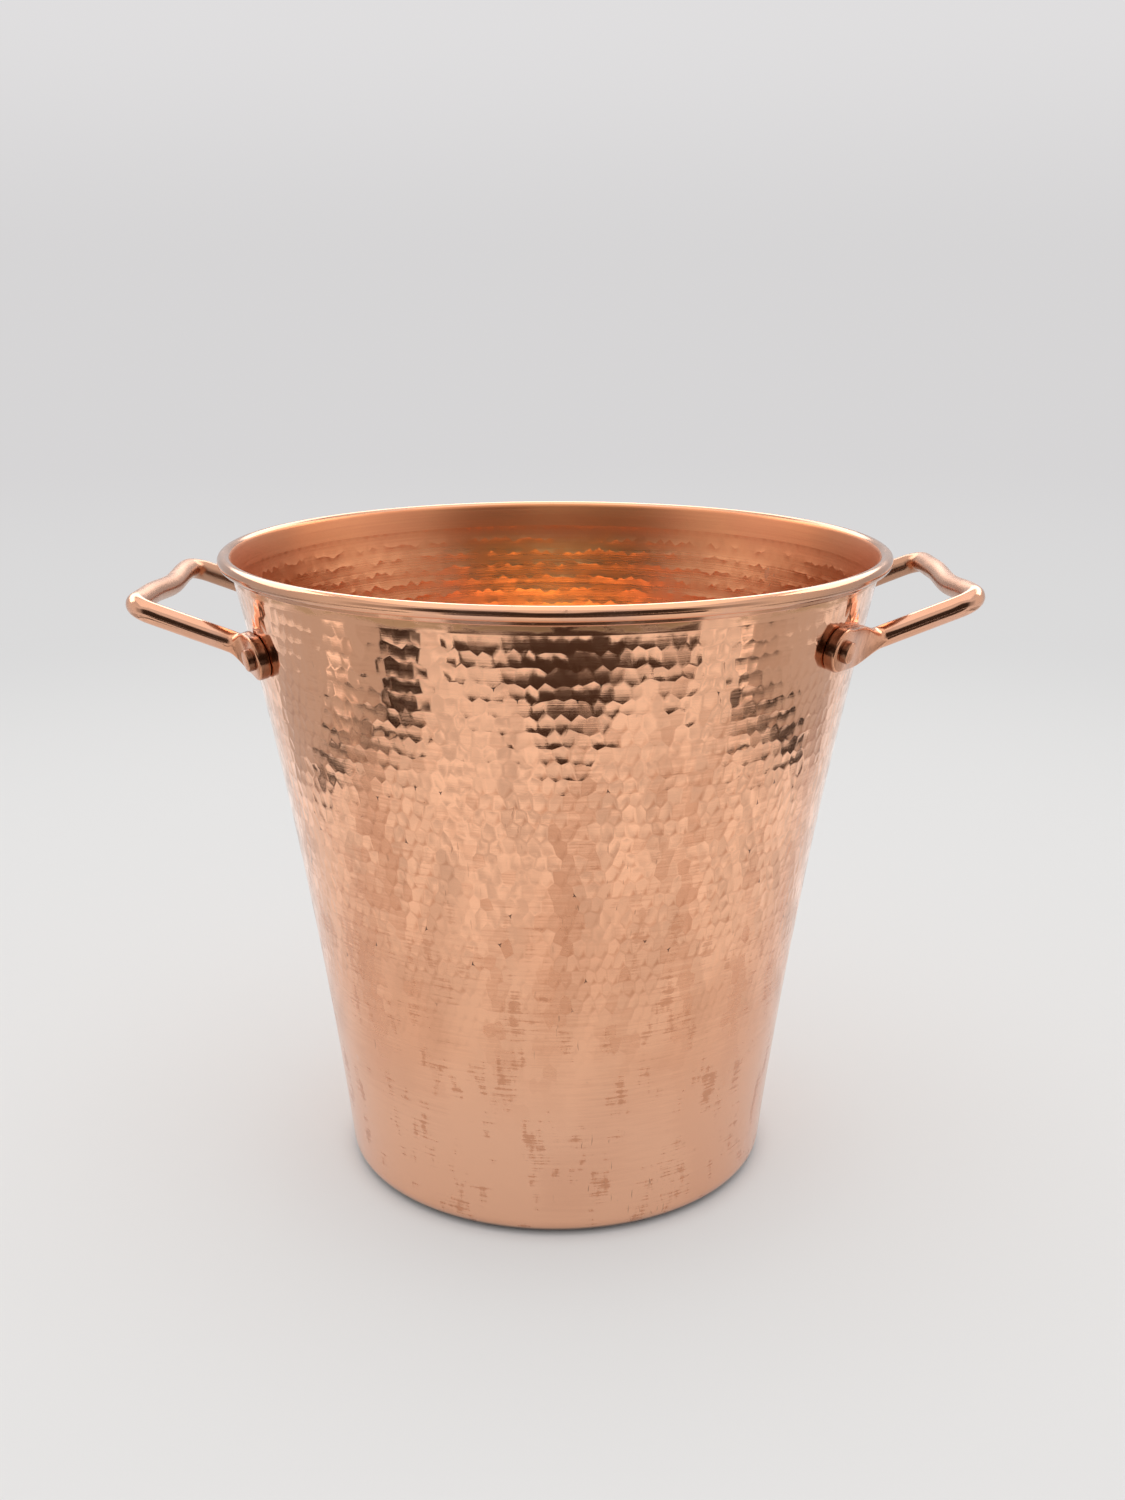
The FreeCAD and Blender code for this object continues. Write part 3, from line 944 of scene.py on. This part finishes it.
def make_world():
    """Pale grey all round, a little lighter above the floor's end."""
    world = bpy.data.worlds.new("studio")
    world.use_nodes = True
    tree = world.node_tree
    background = next(node for node in tree.nodes if node.type == "BACKGROUND")
    way = add_node(tree, "ShaderNodeTexCoord", None, None, 0)
    rise = way.axis(2)
    level = 1.0 + 0.1 * rise.between(0.0, 0.14)
    grey = way.node("ShaderNodeMix", {"data_type": "RGBA", "blend_type": "MULTIPLY"},
                    {0: 1.0, 6: (*WORLD_GREY, 1), 7: level}, 2)
    tree.links.new(grey.socket, background.inputs["Color"])
    background.inputs["Strength"].default_value = 1.0
    bpy.context.scene.world = world


def surface(tree):
    """Where the shader of a material comes out."""
    return next(node for node in tree.nodes if node.type == "OUTPUT_MATERIAL").inputs["Surface"]


def floor_material():
    """Pale floor, partly lit from within so that its shadows stay soft, which fades into the far grey."""
    material, tree, shader = new_material("pale_floor")
    shader.inputs["Base Color"].default_value = (*FLOOR_GREY, 1)
    shader.inputs["Roughness"].default_value = 0.9
    shader.inputs["Specular IOR Level"].default_value = 0.0
    place = object_place(tree)
    out = place.node("ShaderNodeVectorMath", {"operation": "LENGTH"}, {0: place}, 1)
    far = out.between(0.42, 0.95)
    shade = blended(tree, FLOOR_GLOW, FAR_GREY, far).tint(WORLD_GREY, out.between(0.8, 2.4))
    # Painted shadow and light for reflections only: the floor seen in the copper is darker close to the
    # bucket and cloudy further out
    mirrored = add_node(tree, "ShaderNodeLightPath", None, None, 3)
    cloud = noise(place, (28, 28, 28), 2.0).between(0.3, 0.7) - 0.5
    tone = 0.9 * cloud * out.between(0.1, 0.26) + 0.2 * (out.between(0.08, 0.3) - 0.65)
    glow = add_node(tree, "ShaderNodeEmission", None, {0: shade, 1: 1.0 + tone * mirrored})
    share = 0.42 * out.between(0.067, 0.08) + 0.13 * out.between(0.07, 0.13) + 0.45 * far
    mixed = add_node(tree, "ShaderNodeMixShader", None, {0: share, 2: glow})
    tree.links.new(shader.outputs[0], mixed.socket.node.inputs[1])
    tree.links.new(mixed.socket, surface(tree))
    return material


def glow_material(name, level, tint=CARD_WHITE):
    """A plain sheet with its own level of brightness."""
    material, tree, _ = new_material(name)
    glow = add_node(tree, "ShaderNodeEmission", None, {0: (*tint, 1), 1: level})
    tree.links.new(glow.socket, surface(tree))
    return material


def room_material():
    """The room behind the camera: dark at the height of the table, paler higher up and along its sides."""
    material, tree, _ = new_material("front_room")
    place = object_place(tree)
    backwards = place.axis(1)
    height = place.axis(2)
    beside = place.axis(0).unsigned()
    paler = (height - 0.33 * beside.between(0.1, 0.3)).between(0.44, 0.76)
    paler = (paler + 0.5 * beside.between(0.7, 1.3) + backwards.between(-0.9, 0.1)).clamp()
    shade = blended(tree, ROOM_DARK, ROOM_PALE, paler)
    glow = add_node(tree, "ShaderNodeEmission", None, {0: shade, 1: 1.0})
    tree.links.new(glow.socket, surface(tree))
    return material


def only_reflected(card, material):
    """Keeps a card for reflections in the metal."""
    card.data.materials.append(material)
    card.visible_camera = False
    card.visible_diffuse = False
    card.visible_shadow = False
    card.visible_transmission = False


def ring_card(name, near, far, start, end, material, lift, flare=1.0):
    """A card on the floor: part of a ring round the bucket, its angles in degrees from +X.

    A flare over 1 makes the card wider, in degrees, at its far side.
    """
    card = start_piece(name, bpy.ops.mesh.primitive_plane_add, size=MM)
    aim = Vector((cos(radians(end)), sin(radians(end)), 0))
    reaches = np.linspace(near, far, 7)
    draw_outline(card, [aim * reach + UP * lift for reach in reaches])
    bpy.ops.mesh.spin(steps=24, angle=radians(end - start), center=(0, 0, 0), axis=(0, 0, 1))
    done()
    points = places(card)
    reach = radius_of(points)
    middle = radians(start + end) / 2
    turn = (turn_of(points) - middle + pi) % (2 * pi) - pi
    turn = middle + turn * (1 + (flare - 1) * (reach - near) / (far - near))
    set_places(card, np.stack((reach * np.cos(turn), reach * np.sin(turn), points[:, 2]), 1))
    only_reflected(card, material)


def flat_card(name, middle, size, material):
    """A level card above the bucket."""
    card = start_piece(name, bpy.ops.mesh.primitive_plane_add, size=1)
    card.data.transform(Matrix.Translation(middle) @ Matrix.Diagonal((size[0], size[1], 1, 1)))
    only_reflected(card, material)


def upright_card(name, start, end, height, material, lift=0.0):
    """A card that stands between two points of the floor, or is lifted off it."""
    card = start_piece(name, bpy.ops.mesh.primitive_plane_add, size=MM)
    draw_outline(card, [(*start, lift), (*end, lift)])
    bpy.ops.mesh.extrude_edges_move(TRANSFORM_OT_translate={"value": (0, 0, height)})
    done()
    only_reflected(card, material)


def make_studio():
    make_world()
    floor = start_piece("floor", bpy.ops.mesh.primitive_plane_add, size=12)
    floor.data.materials.append(floor_material())

    dark = glow_material("dark_card", 0.038, WARM_DARK)
    umber = glow_material("umber_card", 0.06, WARM_DARK)
    tan = glow_material("tan_card", 0.53)
    bright = glow_material("bright_card", 1.25)
    ring_card("front_dark", 0.336, 0.385, -93, -77, umber, CARD_LIFT, 2.9)
    ring_card("front_far_dark", 0.385, 0.95, -124, -43, umber, CARD_LIFT)
    ring_card("left_dark", 0.344, 0.366, 166, 212, dark, CARD_LIFT)
    ring_card("left_wide_dark", 0.347, 0.418, 211, 225, dark, WIDE_LIFT)
    ring_card("left_tan", 0.37, 0.53, 148, 213, tan, TAN_LIFT)
    ring_card("left_bright", 0.405, 0.435, 186, 196, bright, BRIGHT_LIFT)
    ring_card("right_dark", 0.366, 0.394, -28, 16, dark, CARD_LIFT)
    ring_card("right_tan", 0.39, 0.53, -26, 32, tan, TAN_LIFT)
    ring_card("right_bright", 0.405, 0.43, -27, -21, bright, BRIGHT_LIFT)
    room = room_material()
    upright_card("front_room", (-ROOM_SIDE, ROOM_FRONT), (ROOM_SIDE, ROOM_FRONT), ROOM_HEIGHT, room)
    upright_card("left_room", (-ROOM_SIDE, ROOM_FRONT), (-ROOM_SIDE, ROOM_BACK), ROOM_HEIGHT, room)
    upright_card("right_room", (ROOM_SIDE, ROOM_FRONT), (ROOM_SIDE, ROOM_BACK), ROOM_HEIGHT, room)
    flat_card("overhead_softbox", (0, 0.1, 1.25), (1.7, 1.5), bright)
    soft = glow_material("soft_card", 3.8)
    left_end = (-SOFT_HALF_WIDTH, SOFT_BACK)
    right_end = (SOFT_HALF_WIDTH, SOFT_BACK)
    upright_card("back_softbox", left_end, right_end, SOFT_HEIGHT, soft, SOFT_LIFT)
    upright_card("left_softbox", left_end, (-SOFT_SIDE, SOFT_FRONT), SOFT_HEIGHT, soft, SOFT_LIFT)
    upright_card("right_softbox", right_end, (SOFT_SIDE, SOFT_FRONT), SOFT_HEIGHT, soft, SOFT_LIFT)

    bpy.ops.object.light_add(type="AREA", location=(0, -0.05, 1.15))
    lamp = bpy.context.object
    lamp.name = "top_light"
    lamp.data.shape = "SQUARE"
    lamp.data.size = 0.8
    lamp.data.energy = 3.2
    lamp.visible_glossy = False


def make_camera():
    bpy.ops.object.camera_add(location=CAMERA_PLACE, rotation=(radians(90 - CAMERA_PITCH), 0, 0))
    camera = bpy.context.object
    camera.data.sensor_width = 36
    camera.data.lens = LENS_PIXELS / FRAME_TALL * camera.data.sensor_width
    camera.data.clip_start = 0.01
    bpy.context.scene.camera = camera


# Assembly

def dress_shell(shell):
    """Gives the wall, the rim and the inside their own finish."""
    wall_slot, rim_slot, inside_slot = 0, 1, 2
    centres = face_vectors(shell, "center")
    normals = face_vectors(shell, "normal")
    z = centres[:, 2]
    outwards = (normals[:, :2] * centres[:, :2]).sum(1) / np.maximum(radius_of(centres), MM)
    under = (z < BASE_CORNER) & (outwards > normals[:, 2])
    outside = (off_wall(centres, -SHEET / 2) > 0) | under
    rim = (z > HEM_FOOT - 0.1 * MM) & (off_wall(centres, -SHEET * 0.8) > 0)
    slots = np.where(rim, rim_slot, np.where(outside, wall_slot, inside_slot)).astype(np.int32)
    shell.data.polygons.foreach_set("material_index", slots)


def main():
    make_studio()
    make_camera()
    shell = make_shell()
    hand_over(shell, "bucket_shell", [wall_copper(), rim_copper(), inside_copper()])
    dress_shell(shell)
    rod = rod_copper("handle_copper", 0.05)
    button = rod_copper("rivet_copper", 0.3)
    for side, setting, heading in (("right", RIGHT_SET, HANDLE_TURN), ("left", LEFT_SET, 180 - HANDLE_TURN)):
        handle, feet = make_handle(side + "_handle_rod", setting, heading)
        hand_over(handle, side + "_handle", rod)
        # The left handle is turned round, so that its first foot is the rear one
        names = ("front", "rear") if side == "right" else ("rear", "front")
        for name, foot in zip(names, feet):
            node = side + "_" + name + "_rivet"
            hand_over(make_rivet(node + "_head", foot, heading), node, button)
    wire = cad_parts["rim_wire"]
    wire.data.materials.clear()
    wire.data.materials.append(rod_copper("wire_copper", 0.3))


bpy.context.scene.view_settings.view_transform = "Standard"
main()
